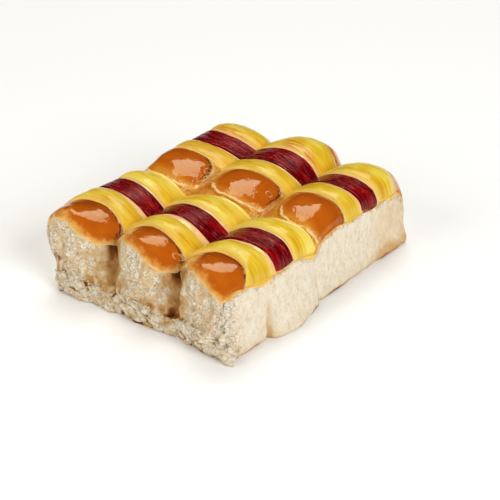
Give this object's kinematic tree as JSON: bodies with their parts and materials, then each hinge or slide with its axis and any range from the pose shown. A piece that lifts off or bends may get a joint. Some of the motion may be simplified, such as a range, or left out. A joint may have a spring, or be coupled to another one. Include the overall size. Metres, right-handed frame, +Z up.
{
  "type": "pull-apart sweet bread roll",
  "caption": "Torn block of soft pull-apart sweet bread with glazed domed crust and bands of custard and jam across its rolls.",
  "frame": {"origin": "middle of the flat base, on the surface that the bread rests on", "axes": "+X across the three rolls towards the torn right side, +Y along the rolls away from the torn front ends, +Z up"},
  "size_m": [0.184, 0.2232, 0.0669],
  "materials": {
    "bread": "soft open crumb, matt, with a glossy glazed golden-brown crust on the domes",
    "custard": "smooth baked custard, glossy yellow, paler along its rims",
    "jam": "wet dark red jam with streaks along the band"
  },
  "bodies": {
    "root": {"bread": "bread", "custard_band_1": "custard", "custard_band_2": "custard", "custard_band_3": "custard", "custard_band_4": "custard", "jam_band_1": "jam", "jam_band_2": "jam"}
  },
  "joints": []
}
